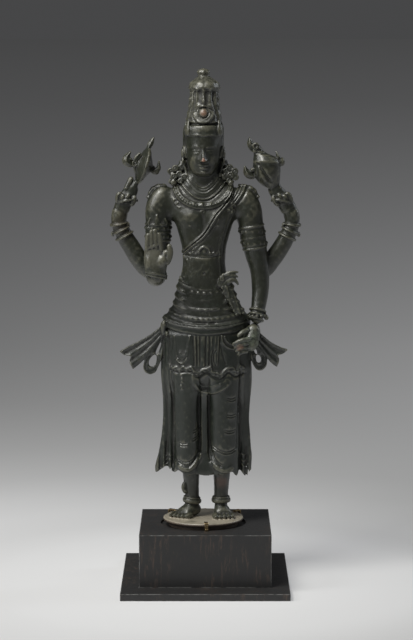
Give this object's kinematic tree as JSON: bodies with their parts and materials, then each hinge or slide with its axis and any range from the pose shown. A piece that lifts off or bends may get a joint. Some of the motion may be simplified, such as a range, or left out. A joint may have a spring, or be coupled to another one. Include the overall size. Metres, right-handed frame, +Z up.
{
  "type": "bronze vishnu figure on a wooden base",
  "caption": "Four-armed standing deity cast in bronze in one with its round plate, clipped to a black wooden block with a wider foot plate.",
  "frame": {"origin": "on the floor, under the centre of the foot plate", "axes": "+Z up, the figure faces -Y and +X is the viewer's right"},
  "size_m": [0.1598, 0.156, 0.4363],
  "materials": {
    "black_wood": "matt black stain with faint brown grain",
    "bronze": "dark olive patina, rubbed lighter on the high points",
    "clip_brass": "satin brass"
  },
  "bodies": {
    "root": {"foot_plate": "black_wood", "block": "black_wood", "figure": "bronze", "clip_front": "clip_brass", "clip_left": "clip_brass", "clip_right": "clip_brass"}
  },
  "joints": []
}
